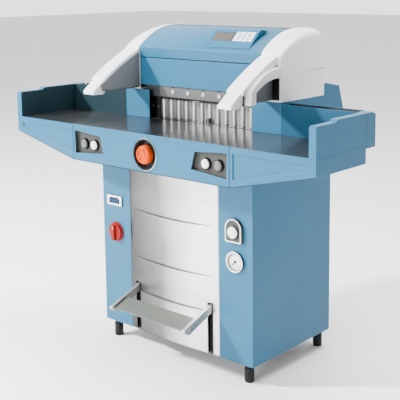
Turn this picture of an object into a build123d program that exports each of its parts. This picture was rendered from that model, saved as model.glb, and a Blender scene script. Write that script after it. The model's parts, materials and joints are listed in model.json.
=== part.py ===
"""Guillotine paper cutter with a hydraulic clamp, a diagonal knife and two side tables.

Width runs along X, height along Z. Depth is measured backwards from the pedestal's
front face, and every piece is moved forward at the end by MIDDLE_DEPTH, so that the
origin lies on the floor below the middle of the machine.
"""
from build123d import *
import os

os.makedirs("parts", exist_ok=True)

# Driving dimensions, in millimetres
TABLE_TOP = 890
TABLE_THICK = 28
TABLE_HALF = 394
OVERALL_HALF = 739
PEDESTAL_HALF = 382
PEDESTAL_DEPTH = 480
PEDESTAL_LOW = 70
STEEL_HALF = 228
APRON_FRONT = -136
APRON_LOW = 750
PEDAL_TIP = -152
MIDDLE_DEPTH = 281
REAR_END = 2 * MIDDLE_DEPTH - PEDAL_TIP
HEAD_FRONT = 150
HEAD_HALF = 307
THROAT_HALF = 261
ARM_OUTER = 379
SHEET = 3
RUNNING = 0.08

# Mechanism
BLADE_LEFT, BLADE_RIGHT, BLADE_EDGE = -207, 300, 972
BLADE_FRONT, BLADE_THICK = 166, 9
BOLT_HEIGHT, BOLT_FIRST, BOLT_PITCH, BOLT_COUNT = 1003, -137, 79, 6
CLAMP_FRONT, CLAMP_BACK, CLAMP_LOW, CLAMP_HIGH = 178, 202, 976, 1056
PULL_ROD_X, PULL_ROD_RADIUS = 318, 9
COMB_FRONT, COMB_HEIGHT, RIB_PITCH, RIB_RADIUS, RIB_COUNT = 206, 72, 40.7, 18, 13
SCREW_HEIGHT, SCREW_RADIUS = 835, 10
SLOT_HALF = 10
WHEEL_HEIGHT = 816
BUTTON_HEIGHT, OUTER_BUTTON_X, INNER_BUTTON_X = 817, 338, 282
STEM_RADIUS = 9
POD_SEAT = (388, 870), (236, 860), (216, 786), (388, 770)
POD_FLOOR = 15
SWITCH_X, SWITCH_HEIGHT = -308, 448
POWER_X, POWER_HEIGHT = 305, 556
GAUGE_X, GAUGE_HEIGHT = 307, 447
PEDAL_AXIS_Y, PEDAL_AXIS_Z = 420, 290
PEDAL_ARM_X, PEDAL_ARM_WIDTH = 187, 16


def block(x0, x1, y0, y1, z0, z1):
    """A box between two corners."""
    middle = Pos((x0 + x1) / 2, (y0 + y1) / 2, (z0 + z1) / 2)
    return middle * Box(x1 - x0, y1 - y0, z1 - z0)


def rod_x(y, z, radius, x0, x1):
    return Pos((x0 + x1) / 2, y, z) * Rot(0, 90, 0) * Cylinder(radius, x1 - x0)


def rod_y(x, z, radius, y0, y1):
    return Pos(x, (y0 + y1) / 2, z) * Rot(90, 0, 0) * Cylinder(radius, y1 - y0)


def rod_z(x, y, radius, z0, z1):
    return Pos(x, y, (z0 + z1) / 2) * Cylinder(radius, z1 - z0)


def side_slab(outline, x0, x1):
    """Extrude a closed outline of depth and height across the width."""
    plane = Plane(origin=(x0, 0, 0), x_dir=(0, 1, 0), z_dir=(1, 0, 0))
    return extrude(plane * make_face(outline), x1 - x0)


def front_slab(outline, y0, y1):
    """Extrude a closed outline of width and height through the depth."""
    plane = Plane(origin=(0, y1, 0), x_dir=(1, 0, 0), z_dir=(0, -1, 0))
    return extrude(plane * make_face(outline), y1 - y0)


def top_slab(outline, z0, z1):
    """Extrude a closed outline of width and depth upwards."""
    return extrude(Plane.XY.offset(z0) * make_face(outline), z1 - z0)


def closed(*points):
    return Polyline(*points, close=True)


def pair(piece):
    """A piece and its mirror image on the machine's other side."""
    return [piece, mirror(piece, about=Plane.YZ)]


def keep(name, *pieces):
    """Write one node; a list of pieces becomes a group of separate solids."""
    flat = []
    for piece in pieces:
        flat += piece if isinstance(piece, list) else [piece]
    solids = [solid for piece in flat for solid in piece.solids()]
    moved = [solid.moved(Location((0, -MIDDLE_DEPTH, 0))) for solid in solids]
    export_step(moved[0] if len(moved) == 1 else Compound(children=moved), f"parts/{name}.step")


# Pedestal ----------------------------------------------------------------------------
def pedestal():
    floor_top = PEDESTAL_LOW + 8
    inner = PEDESTAL_HALF - SHEET
    post = 40
    table_under = TABLE_TOP - TABLE_THICK
    base = block(-inner, inner, SHEET, PEDESTAL_DEPTH - SHEET, PEDESTAL_LOW, floor_top)
    keep("base_plate", base)

    front_post = block(inner - post, inner, 16, 16 + post, floor_top, table_under)
    back_end = PEDESTAL_DEPTH - SHEET
    back_post = block(inner - post, inner, back_end - post, back_end, floor_top, table_under)
    keep("corner_posts", pair(front_post), pair(back_post))

    feet = []
    for depth in (30, PEDESTAL_DEPTH - 22):
        foot = chamfer(rod_z(342, depth, 18, 0, 54).edges().group_by(Axis.Z)[0], 2)
        neck = rod_z(342, depth, 14, 54, PEDESTAL_LOW)
        feet += pair(foot + neck)
    keep("levelling_feet", feet)

    column = block(STEEL_HALF, PEDESTAL_HALF, 0, SHEET, PEDESTAL_LOW, table_under)
    lip = block(STEEL_HALF, STEEL_HALF + SHEET, SHEET, 16, PEDESTAL_LOW + 8, table_under)
    right = column + lip
    left = mirror(right, about=Plane.YZ)
    switch_hole = rod_y(SWITCH_X, SWITCH_HEIGHT, 14, -1, SHEET + 1)
    power_hole = rod_y(POWER_X, POWER_HEIGHT, 14, -1, SHEET + 1)
    gauge_hole = rod_y(GAUGE_X, GAUGE_HEIGHT, 16, -1, SHEET + 1)
    keep("left_column_panel", left - switch_hole)
    keep("right_column_panel", right - power_hole - gauge_hole)

    side = block(inner, PEDESTAL_HALF, SHEET, PEDESTAL_DEPTH, PEDESTAL_LOW, table_under)
    keep("pedestal_side_panels", pair(side))

    rear = block(-inner, inner, PEDESTAL_DEPTH - SHEET, PEDESTAL_DEPTH, PEDESTAL_LOW, table_under)
    for column_x in (-200, 200):
        for row in range(8):
            low = 180 + 22 * row
            rear -= block(column_x - 70, column_x + 70, PEDESTAL_DEPTH - 4, PEDESTAL_DEPTH + 1, low, low + 8)
    keep("rear_panel", rear - block(-32, 32, PEDESTAL_DEPTH - 4, PEDESTAL_DEPTH + 1, 800, table_under + 1))

    half, bulge = STEEL_HALF - 1, 12
    outer = ThreePointArc((-half, 0), (0, -bulge), (half, 0))
    inner_arc = ThreePointArc((half, SHEET), (0, SHEET - bulge), (-half, SHEET))
    rim = outer + Line((half, 0), (half, SHEET)) + inner_arc + Line((-half, SHEET), (-half, 0))
    steel = top_slab(rim, PEDESTAL_LOW + 2, table_under)
    slot = block(PEDAL_ARM_X - 13, PEDAL_ARM_X + 13, -30, 30, 0, 268)
    for piece in pair(slot):
        steel -= piece
    keep("steel_front_panel", steel)


# Table -------------------------------------------------------------------------------
def table():
    under = TABLE_TOP - TABLE_THICK
    join = PEDESTAL_DEPTH
    front = APRON_FRONT + SHEET
    plate = block(-TABLE_HALF, TABLE_HALF, front, join, under, TABLE_TOP)
    groove = block(-258, 258, 160, 180, TABLE_TOP - 10, TABLE_TOP)
    plate -= groove
    plate -= block(-SLOT_HALF, SLOT_HALF, 226, join + 1, under - 1, TABLE_TOP + 1)
    for x in (-PULL_ROD_X, PULL_ROD_X):
        plate -= rod_z(x, 190, PULL_ROD_RADIUS + RUNNING, under - 1, TABLE_TOP + 1)
    plate -= rod_y(0, WHEEL_HEIGHT, 56, front - 1, front + 24)
    relief = closed((389, 871), (235, 861), (215, 785), (389, 769))
    for piece in pair(front_slab(relief, front - 1, APRON_FRONT + POD_FLOOR + SHEET + 0.5)):
        plate -= piece
    keep("main_table", plate)
    keep("cutting_stick", groove)

    rear_half = 290
    rear = block(-rear_half, rear_half, join, REAR_END, under, TABLE_TOP)
    rear -= block(-SLOT_HALF, SLOT_HALF, join - 1, 694, under - 1, TABLE_TOP + 1)
    keep("rear_table", rear)
    wall = closed((join, TABLE_TOP), (join, 1030), (586, 1028), (674, 1010), (REAR_END, TABLE_TOP))
    keep("rear_table_walls", pair(side_slab(wall, rear_half - SHEET, rear_half)))

    apron = block(-TABLE_HALF, TABLE_HALF, APRON_FRONT, front, APRON_LOW, TABLE_TOP)
    apron += block(-TABLE_HALF, TABLE_HALF, front, front + 22, APRON_LOW, APRON_LOW + SHEET)
    apron -= rod_y(0, WHEEL_HEIGHT, 55, APRON_FRONT - 1, front + 1)
    opening = closed((383, 866), (240, 855), (222, 792), (381, 778))
    for piece in pair(front_slab(opening, APRON_FRONT - 1, front + 1)):
        apron -= piece
    keep("front_apron", apron)

    seat = closed(*POD_SEAT)
    floor_y = APRON_FRONT + POD_FLOOR
    pod = front_slab(seat, front, floor_y + SHEET)
    pod -= front_slab(opening, front - 1, floor_y)
    blocks = []
    for x in (OUTER_BUTTON_X, INNER_BUTTON_X):
        pod -= rod_y(x, BUTTON_HEIGHT, STEM_RADIUS + RUNNING, floor_y - 1, floor_y + SHEET + 1)
        contact = block(x - 15, x + 15, floor_y + SHEET, floor_y + 30, BUTTON_HEIGHT - 15, BUTTON_HEIGHT + 15)
        contact -= rod_y(x, BUTTON_HEIGHT, STEM_RADIUS + RUNNING, floor_y, floor_y + 31)
        blocks += pair(contact)
        button = rod_y(x, BUTTON_HEIGHT, 17, APRON_FRONT + 2, floor_y - 5)
        button = chamfer(button.edges().group_by(Axis.Y)[0], 1.2)
        button += rod_y(x, BUTTON_HEIGHT, STEM_RADIUS, floor_y - 5, floor_y + 20)
        place = "outer" if x == OUTER_BUTTON_X else "inner"
        keep(f"right_{place}_button", button)
        keep(f"left_{place}_button", mirror(button, about=Plane.YZ))
    keep("button_pods", pair(pod))
    keep("button_contact_blocks", blocks)

    ring = rod_y(0, WHEEL_HEIGHT, 59, APRON_FRONT - 4, APRON_FRONT)
    bowl = rod_y(0, WHEEL_HEIGHT, 55, APRON_FRONT, APRON_FRONT + 24)
    cone = Pos(0, APRON_FRONT + 7, WHEEL_HEIGHT) * Rot(90, 0, 0) * Cone(42, 53, 22)
    bezel = ring + bowl - cone
    hub = rod_y(0, WHEEL_HEIGHT, 18, APRON_FRONT + 24, APRON_FRONT + 50)
    bezel += hub
    bezel -= rod_y(0, WHEEL_HEIGHT, 10 + RUNNING, APRON_FRONT, APRON_FRONT + 51)
    keep("handwheel_bezel", bezel)
    knob = rod_y(0, WHEEL_HEIGHT, 34, APRON_FRONT - 16, APRON_FRONT + 8)
    knob = fillet(knob.edges().group_by(Axis.Y)[0], 8)
    keep("handwheel", knob + rod_y(0, WHEEL_HEIGHT, 10, APRON_FRONT + 8, APRON_FRONT + 60))


def wings():
    under = TABLE_TOP - 6
    tip_low = 830
    inner_low = APRON_LOW
    top_front = APRON_FRONT + SHEET
    outer_shape = closed((TABLE_HALF, under), (OVERALL_HALF, under),
                         (OVERALL_HALF, tip_low), (TABLE_HALF, inner_low))
    slope = (tip_low - inner_low) / (OVERALL_HALF - TABLE_HALF)
    wall = OVERALL_HALF - SHEET
    low_inner = inner_low + SHEET
    low_tip = inner_low + SHEET + slope * (wall - TABLE_HALF)
    hollow = closed((TABLE_HALF - 1, under + 1), (wall, under + 1),
                    (wall, low_tip), (TABLE_HALF - 1, low_inner))
    body = front_slab(outer_shape, APRON_FRONT, HEAD_FRONT)
    body -= front_slab(hollow, top_front, HEAD_FRONT + 1)
    recess_depth = 4
    backing = closed((404, 870), (709, 870), (709, 844.5), (404, 775.5))
    body += front_slab(backing, APRON_FRONT + 1, APRON_FRONT + recess_depth + SHEET)
    recess = closed((408, 866), (705, 866), (705, 848), (408, 780))
    body -= front_slab(recess, APRON_FRONT - 1, APRON_FRONT + recess_depth)
    keep("wing_bodies", pair(body))
    keep("wing_tables", pair(block(TABLE_HALF, OVERALL_HALF, APRON_FRONT, HEAD_FRONT, under, TABLE_TOP)))

    front, step_front, step_back = APRON_FRONT, -27, -16
    outline = closed((front, TABLE_TOP), (front, 984), (front + 6, 990), (step_front, 990),
                     (step_back, 998), (HEAD_FRONT, 998), (HEAD_FRONT, TABLE_TOP))
    keep("wing_side_walls", pair(side_slab(outline, OVERALL_HALF - 28, OVERALL_HALF)))

    back, low, high = 207, 880, 998
    fence = block(TABLE_HALF + 0.5, OVERALL_HALF, HEAD_FRONT, back, low, high)
    fence -= block(TABLE_HALF + 4, OVERALL_HALF - 40, HEAD_FRONT + SHEET, back - SHEET, low + SHEET, high + 1)
    end_drop = block(OVERALL_HALF - 41, OVERALL_HALF + 1, back - 12, back + 1, high - 6, high + 1)
    keep("wing_rear_fences", pair(fence - end_drop))


# Cutting head ------------------------------------------------------------------------
def head():
    frame = block(262, 320, COMB_FRONT + 1, 400, TABLE_TOP, 1150)
    keep("side_frames", pair(frame))
    keep("crossbeam", block(-262, 262, 250, 370, 1070, 1150))

    cover = block(THROAT_HALF, TABLE_HALF, HEAD_FRONT, HEAD_FRONT + SHEET, TABLE_TOP, 1004)
    cover += block(TABLE_HALF - SHEET, TABLE_HALF, HEAD_FRONT + SHEET, 400, TABLE_TOP, 1004)
    keep("frame_covers", pair(cover))

    keep("fascia", block(-HEAD_HALF, HEAD_HALF, HEAD_FRONT, HEAD_FRONT + SHEET, 1024, 1131))

    outer = Polyline((341, 1248), (341, 1252))
    outer += ThreePointArc((341, 1252), (238, 1229), (144, 1173))
    outer += Polyline((144, 1173), (150, 1134), (153, 1134), (147.5, 1172))
    outer += ThreePointArc((147.5, 1172), (239, 1225.5), (341, 1248))
    keep("hood", side_slab(outer, -HEAD_HALF, HEAD_HALF))
    rear = closed((341, 1250), (341, 1247), (405, 1247), (405, 1006), (408, 1006), (408, 1250))
    keep("rear_hood", side_slab(rear, -HEAD_HALF, HEAD_HALF))

    # The side cover's top is lower on the outside, so it runs from one outline to another.
    def cover_outline(x, front_low, front_top, arc_middle, crown, back_top, back_mid, back_low):
        plane = Plane(origin=(x, 0, 0), x_dir=(0, 1, 0), z_dir=(1, 0, 0))
        lines = Polyline(back_top, back_mid, back_low, front_low, front_top)
        lines += ThreePointArc(front_top, arc_middle, crown)
        lines += Line(crown, back_top)
        return plane * make_face(lines)

    inner = cover_outline(HEAD_HALF, (146.5, 1005), (146.5, 1175), (234, 1230), (350, 1254),
                          (402, 1254), (422, 1110), (420, 1005))
    outer_face = cover_outline(TABLE_HALF, (146.5, 1005), (146.5, 1166), (234, 1209), (340, 1228),
                               (388, 1228), (420, 1110), (418, 1005))
    shell = loft([inner, outer_face])
    cavity = closed((151, 1004), (149, 1165), (234, 1202), (340, 1222), (384, 1222), (415, 1108), (413, 1004))
    shell -= side_slab(cavity, HEAD_HALF - 1, TABLE_HALF - 4)
    keep("side_covers", pair(shell))


def arms():
    tip, tip_low = -98, 1002
    crown = ThreePointArc((146.5, 1172), (30, 1111), (-91, 1028))
    rest = Polyline((-91, 1028), (tip, 1022), (tip, tip_low), (-44, 1000), (-30, 1010),
                    (146.5, 1010), (146.5, 1172))
    arm = side_slab(crown + rest, HEAD_HALF, 360)
    hollow = ThreePointArc((148, 1167), (32, 1106), (-86, 1022))
    hollow += Polyline((-86, 1022), (-86, 1014), (148, 1014), (148, 1167))
    arm -= side_slab(hollow, HEAD_HALF + SHEET, 357)
    upper = ThreePointArc((146.5, 1168), (47, 1127), (-48, 1076))
    upper += Line((-48, 1076), (-44, 1058))
    upper += ThreePointArc((-44, 1058), (50, 1104), (127, 1142))
    upper += Polyline((127, 1142), (127, 1160), (146.5, 1168))
    arm += side_slab(upper, 360, ARM_OUTER)
    keep("safety_arms", pair(arm))

    strut = ThreePointArc((146.5, 1131), (50, 1107), (-18, 1056))
    strut += Polyline((-18, 1056), (-19, 1008), (11, 1008), (12, 1051))
    strut += ThreePointArc((12, 1051), (62, 1078), (146.5, 1092))
    strut += Line((146.5, 1092), (146.5, 1131))
    keep("arm_struts", pair(side_slab(strut, ARM_OUTER, TABLE_HALF)))


def console():
    wedge_lines = Polyline((157.5, 1186), (222, 1249), (236, 1251), (268, 1243.5))
    wedge_lines += ThreePointArc((268, 1243.5), (213, 1222), (157.5, 1186))
    wedge = side_slab(wedge_lines, 29, 244)
    run, rise = 222 - 157.5, 1249 - 1186
    length = (run**2 + rise**2) ** 0.5
    plane = Plane(origin=(0, 157.5, 1186), x_dir=(1, 0, 0), z_dir=(0, -rise, run))

    def plaque(x0, x1, low, high, sink, proud):
        base = plane * Pos((x0 + x1) / 2, (low + high) / 2, (proud - sink) / 2)
        return base * Box(x1 - x0, high - low, sink + proud)

    display = plaque(47, 136, 0.4 * length, 0.8 * length, 2, 0.5)
    keys = plaque(145, 235, 0.4 * length, 0.88 * length, 2, 0.8)
    keep("control_box", wedge - display - keys)
    keep("display_window", display)
    keep("keypad", keys)


# Mechanism ---------------------------------------------------------------------------
def knife():
    carrier_front = 158
    hole = RUNNING + 5
    carrier = block(BLADE_LEFT, BLADE_RIGHT, carrier_front, BLADE_FRONT, 982, 1130)
    back = BLADE_FRONT + BLADE_THICK
    outline = closed((back, BLADE_EDGE), (back, 1078), (BLADE_FRONT, 1078), (BLADE_FRONT, BLADE_EDGE + 16))
    blade = side_slab(outline, BLADE_LEFT, BLADE_RIGHT)
    bolts = []
    for number in range(BOLT_COUNT):
        x = BOLT_FIRST + BOLT_PITCH * number
        carrier -= rod_y(x, BOLT_HEIGHT, hole, carrier_front - 1, BLADE_FRONT + 1)
        blade -= rod_y(x, BOLT_HEIGHT, hole, BLADE_FRONT - 1, back + 1)
        head_piece = rod_y(x, BOLT_HEIGHT, 8, carrier_front - 3, carrier_front)
        head_piece -= extrude(Plane(origin=(x, carrier_front - 1.4, BOLT_HEIGHT), z_dir=(0, -1, 0))
                              * RegularPolygon(3.4, 6), 2)
        bolts.append(head_piece + rod_y(x, BOLT_HEIGHT, 5, carrier_front, back - 0.5))
    keep("knife_carrier", carrier)
    keep("knife_blade", blade)
    keep("knife_bolts", bolts)


def clamp():
    middle = (CLAMP_FRONT + CLAMP_BACK) / 2
    beam = block(-330, 330, CLAMP_FRONT, CLAMP_BACK, CLAMP_LOW, CLAMP_HIGH)
    yoke_low, yoke_high = 610, 640
    yoke = block(-330, 330, CLAMP_FRONT, CLAMP_BACK, yoke_low, yoke_high)
    rods = rod_z(-PULL_ROD_X, middle, PULL_ROD_RADIUS, yoke_high, CLAMP_LOW)
    rods += rod_z(PULL_ROD_X, middle, PULL_ROD_RADIUS, yoke_high, CLAMP_LOW)
    piston = rod_z(0, middle, 12, 430, yoke_low)
    keep("clamp_beam", beam)
    keep("clamp_pull_rods", rods + yoke + piston)
    body = rod_z(0, middle, 30, PEDESTAL_LOW + 8, 520)
    clamp_cylinder = body - rod_z(0, middle, 12 + RUNNING, 335, 521)
    knife_cylinder = rod_z(300, 250, 34, PEDESTAL_LOW + 8, 520) + rod_z(300, 250, 16, 520, 700)
    keep("hydraulic_cylinders", clamp_cylinder, knife_cylinder)


def back_gauge():
    foot = TABLE_TOP + 0.5
    spine = COMB_FRONT + 10
    top = TABLE_TOP + COMB_HEIGHT
    comb = block(-258, 258, spine, spine + 10, foot, top)
    for number in range(RIB_COUNT):
        x = (number - (RIB_COUNT - 1) / 2) * RIB_PITCH
        rib = rod_z(x, COMB_FRONT + RIB_RADIUS, RIB_RADIUS, foot, top)
        comb += rib & block(-258, 258, COMB_FRONT - 1, spine, foot, top)
    keep("back_gauge_comb", comb)

    nut_back = 270
    carriage = block(-70, 70, spine + 10, nut_back, foot, TABLE_TOP + 36)
    carriage += block(-SLOT_HALF + 0.5, SLOT_HALF - 0.5, spine + 20, nut_back, 856, foot)
    nut = block(-22, 22, spine + 20, nut_back, SCREW_HEIGHT - 23, 856)
    carriage += nut
    carriage -= rod_y(0, SCREW_HEIGHT, SCREW_RADIUS + RUNNING, 200, 300)
    keep("gauge_carriage", carriage)
    screw = rod_y(0, SCREW_HEIGHT, SCREW_RADIUS, 150, 710)
    keep("lead_screw", screw)
    bearings = []
    for depth in (172, 696):
        bearing = block(-25, 25, depth, depth + 14, SCREW_HEIGHT - 25, TABLE_TOP - TABLE_THICK)
        bearings.append(bearing - rod_y(0, SCREW_HEIGHT, SCREW_RADIUS + RUNNING, depth - 1, depth + 15))
    bracket = block(240.5, 262, PEDAL_AXIS_Y - 20, PEDAL_AXIS_Y + 20, PEDESTAL_LOW + 8, PEDAL_AXIS_Z + 20)
    keep("shaft_bearings", bearings, pair(bracket))
    motor = rod_y(0, SCREW_HEIGHT, 26, 60, 140) + block(-27, 27, 140, 149.5, SCREW_HEIGHT - 27, TABLE_TOP - TABLE_THICK)
    keep("gauge_motor", motor)


def controls():
    counter = block(-353, -272, -6, 0, 555, 594)
    window = block(-344, -283, -6, -4, 562, 587)
    keep("counter", counter - window, window)

    base = rod_y(SWITCH_X, SWITCH_HEIGHT, 40, -5, 0) + rod_y(SWITCH_X, SWITCH_HEIGHT, 13.9, 0, 20)
    base -= rod_y(SWITCH_X, SWITCH_HEIGHT, 6 + RUNNING, -6, 21)
    keep("main_switch_base", base)
    knob = rod_y(SWITCH_X, SWITCH_HEIGHT, 35, -14, -5.5)
    knob = chamfer(knob.edges().group_by(Axis.Y)[0], 2)
    knob += block(SWITCH_X - 8, SWITCH_X + 8, -24, -14, SWITCH_HEIGHT - 33, SWITCH_HEIGHT + 27)
    knob += rod_y(SWITCH_X, SWITCH_HEIGHT, 6, -5.5, 20)
    keep("main_switch_knob", knob)

    half, low, high, face = 37, 518, 605, -14
    left, right, spring_line = POWER_X - half, POWER_X + half, high - half
    arch = Polyline((left, spring_line), (left, low), (right, low), (right, spring_line))
    arch += ThreePointArc((right, spring_line), (POWER_X, high), (left, spring_line))
    plate = front_slab(arch, face, 0)
    plate -= rod_y(POWER_X, POWER_HEIGHT, 23, face - 1, face + 3)
    plate += rod_y(POWER_X, POWER_HEIGHT, 13.9, 0, 24)
    plate -= rod_y(POWER_X, POWER_HEIGHT, STEM_RADIUS + RUNNING, face - 1, 25)
    keep("power_switch_plate", plate)
    cap_back = face - 1.5
    button = rod_y(POWER_X, POWER_HEIGHT, 22, face - 8, cap_back)
    button += rod_y(POWER_X, POWER_HEIGHT, STEM_RADIUS, cap_back, 20)
    keep("power_button", button)

    case = rod_y(GAUGE_X, GAUGE_HEIGHT, 38, -12, 0) + rod_y(GAUGE_X, GAUGE_HEIGHT, 15.9, 0, 30)
    case -= rod_y(GAUGE_X, GAUGE_HEIGHT, 32, -13, -4)
    case -= rod_y(GAUGE_X, GAUGE_HEIGHT, 2 + RUNNING, -5, 6)
    glass = rod_y(GAUGE_X, GAUGE_HEIGHT, 32, -11.5, -9.5)
    keep("pressure_gauge", case, glass)
    needle = front_slab(closed((-2.5, -7), (2.5, -7), (0.8, 25), (-0.8, 25)), -6.5, -5.5)
    pointer = Pos(GAUGE_X, 0, GAUGE_HEIGHT) * Rot(0, -135, 0) * needle
    pointer += rod_y(GAUGE_X, GAUGE_HEIGHT, 4, -8, -5.5)
    keep("gauge_needle", pointer + rod_y(GAUGE_X, GAUGE_HEIGHT, 2, -5.5, 4))


def pedestal_inside():
    floor_top = PEDESTAL_LOW + 8
    tank = block(-160, 160, 260, 450, floor_top, 240)
    motor = rod_z(60, 330, 52, 240, 400) + rod_z(60, 330, 30, 400, 425)
    keep("hydraulic_power_pack", tank, motor)
    keep("electrical_box", block(-370, -225, 240, 430, 340, 600))


def pedal():
    shaft = rod_x(PEDAL_AXIS_Y, PEDAL_AXIS_Z, 12, -240, 240)
    keep("pedal_shaft", shaft)
    arm_lines = closed((PEDAL_AXIS_Y + 16, PEDAL_AXIS_Z + 14), (-2, 262), (PEDAL_TIP, 206), (PEDAL_TIP, 196),
                       (-126, 181), (2, 234), (PEDAL_AXIS_Y + 16, PEDAL_AXIS_Z - 14))
    half = PEDAL_ARM_WIDTH / 2
    arm = side_slab(arm_lines, PEDAL_ARM_X - half, PEDAL_ARM_X + half)
    arm -= rod_x(PEDAL_AXIS_Y, PEDAL_AXIS_Z, 12, 0, 240)
    keep("pedal_arms", pair(arm))
    reach = PEDAL_ARM_X - half
    tread = closed((-138, 197), (-140, 204), (-72, 229), (-69, 222), (-76, 219.5), (-128, 190))
    keep("pedal_tread", side_slab(tread, -reach, reach))


pedestal()
table()
wings()
head()
arms()
console()
knife()
clamp()
back_gauge()
controls()
pedestal_inside()
pedal()
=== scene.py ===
"""Finishes and fine shapes for a guillotine paper cutter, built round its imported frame.

Shapes are given in millimetres: x to the operator's right, depth behind the pedestal's
front face, and height above the floor.
"""
import json
import math

import bmesh
import bpy
from mathutils import Matrix, Vector


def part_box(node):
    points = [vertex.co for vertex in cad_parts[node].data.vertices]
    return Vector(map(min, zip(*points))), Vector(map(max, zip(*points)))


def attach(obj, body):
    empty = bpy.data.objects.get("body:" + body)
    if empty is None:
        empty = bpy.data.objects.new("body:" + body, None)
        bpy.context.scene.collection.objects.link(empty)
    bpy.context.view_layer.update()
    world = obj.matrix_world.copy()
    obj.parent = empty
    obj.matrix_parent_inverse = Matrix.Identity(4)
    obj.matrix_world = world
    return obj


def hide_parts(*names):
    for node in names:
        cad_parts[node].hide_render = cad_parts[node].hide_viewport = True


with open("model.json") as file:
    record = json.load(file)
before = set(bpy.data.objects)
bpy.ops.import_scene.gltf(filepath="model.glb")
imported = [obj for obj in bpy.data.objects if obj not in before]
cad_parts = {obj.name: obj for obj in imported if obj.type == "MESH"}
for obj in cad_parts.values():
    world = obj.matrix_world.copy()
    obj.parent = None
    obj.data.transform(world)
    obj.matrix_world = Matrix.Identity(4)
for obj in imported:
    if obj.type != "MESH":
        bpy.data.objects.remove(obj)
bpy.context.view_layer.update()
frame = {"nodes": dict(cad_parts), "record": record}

bl_info = {
    "name": "Guillotine Paper Cutter",
    "version": (1, 0, 0),
    "blender": (4, 5, 0),
    "location": "3D View > Sidebar > Cutter",
    "description": "Builds the looks of a floor-standing guillotine paper cutter",
    "category": "Object",
}

MM = 0.001
FACING = 0.5    # the share of a face's normal along an axis that counts as facing that way
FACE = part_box("left_column_panel")[0].y
ROOT = "machine"
HOOD_END = 307    # where the hood ends and the side covers and arms begin, from the middle


def low(node):
    """A node's lowest corner in millimetres, with its depth counted from the pedestal."""
    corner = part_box(node)[0]
    return Vector((corner.x, corner.y - FACE, corner.z)) / MM


def high(node):
    """A node's highest corner in millimetres, with its depth counted from the pedestal."""
    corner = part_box(node)[1]
    return Vector((corner.x, corner.y - FACE, corner.z)) / MM


def middle(node):
    return (low(node) + high(node)) / 2


# Shader expressions -------------------------------------------------------------------
class Value:
    """A socket that takes part in Python arithmetic by adding Math nodes."""

    def __init__(self, shader, socket):
        self.shader = shader
        self.socket = socket

    def math(self, operation, *others):
        values = {number: other for number, other in enumerate((self, *others))}
        return self.shader.node("ShaderNodeMath", {"operation": operation}, values)

    def __add__(self, other):
        return self.math("ADD", other)

    def __mul__(self, other):
        return self.math("MULTIPLY", other)

    def __sub__(self, other):
        return self.math("SUBTRACT", other)

    def __rsub__(self, other):
        return self.math("MULTIPLY_ADD", -1.0, other)

    __radd__ = __add__
    __rmul__ = __mul__


class Shader:
    """A material and its nodes, which all come from one method."""

    def __init__(self, name):
        self.material = bpy.data.materials.new(name)
        self.material.use_nodes = True
        self.tree = self.material.node_tree
        self.surface = self.tree.nodes["Principled BSDF"]

    @classmethod
    def of(cls, owner, surface):
        """The same tools for the node tree of something other than a material."""
        made = cls.__new__(cls)
        made.tree = owner.node_tree
        made.surface = made.tree.nodes[surface]
        return made

    def node(self, kind, settings=None, inputs=None, output=0):
        made = self.tree.nodes.new(kind)
        for key, setting in (settings or {}).items():
            if key == "stops":
                ramp = made.color_ramp
                while len(ramp.elements) < len(setting):
                    ramp.elements.new(1.0)
                for element, (place, tone) in zip(ramp.elements, setting):
                    element.position = place
                    element.color = (tone, tone, tone, 1)
            else:
                setattr(made, key, setting)
        for key, given in (inputs or {}).items():
            self.put(made.inputs[key], given)
        return Value(self, made.outputs[output])

    def put(self, socket, given):
        if isinstance(given, Value):
            self.tree.links.new(given.socket, socket)
        else:
            socket.default_value = given

    def set(self, **inputs):
        for key, given in inputs.items():
            self.put(self.surface.inputs[key.replace("_", " ")], given)

    def place(self, stretch=(1, 1, 1)):
        """The object's own coordinates in metres, stretched along its axes."""
        coordinates = self.node("ShaderNodeTexCoord", output="Object")
        return self.node("ShaderNodeMapping", inputs={"Vector": coordinates, "Scale": stretch})

    def across(self):
        """The place from the operator's left (negative) to right, in metres."""
        return self.node("ShaderNodeSeparateXYZ", inputs={"Vector": self.place()}, output="X")

    def noise(self, scale, detail=2.0, stretch=(1, 1, 1), roughness=0.5):
        inputs = {"Vector": self.place(stretch), "Scale": scale, "Detail": detail, "Roughness": roughness}
        return self.node("ShaderNodeTexNoise", inputs=inputs)

    def ramp(self, value, *stops):
        return self.node("ShaderNodeValToRGB", {"stops": stops}, {"Fac": value})

    def blend(self, factor, first, second):
        settings = {"data_type": "RGBA", "blend_type": "MIX"}
        inputs = {"Factor": factor, 6: (*first, 1), 7: (*second, 1)}
        return self.node("ShaderNodeMix", settings, inputs, output=2)

    def tint(self, value):
        """A neutral grey as bright as the value."""
        inputs = {"Red": value, "Green": value, "Blue": value}
        return self.node("ShaderNodeCombineColor", inputs=inputs)

    def bump(self, height, strength, distance):
        inputs = {"Height": height, "Strength": strength, "Distance": distance}
        self.set(Normal=self.node("ShaderNodeBump", inputs=inputs))


def shade(colour, factor):
    return tuple(channel * factor for channel in colour)


# Finishes -----------------------------------------------------------------------------
def sprayed_paint(name, colour, rough=0.4, coat=0.1):
    """Powder-coated sheet: a slight mottle, orange peel and handling marks."""
    shader = Shader(name)
    mottle = shader.ramp(shader.noise(5, 3), (0.35, 0), (0.7, 1))
    shader.set(Base_Color=shader.blend(mottle, shade(colour, 0.96), shade(colour, 1.03)))
    marks = shader.ramp(shader.noise(26, 5, roughness=0.7), (0.4, 0), (0.75, 1))
    shader.set(Roughness=marks * 0.12 + rough, Coat_Weight=coat, Coat_Roughness=0.15, Specular_IOR_Level=0.18)
    shader.bump(shader.noise(900, 2), 0.12, 0.0004)
    return shader.material


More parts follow.
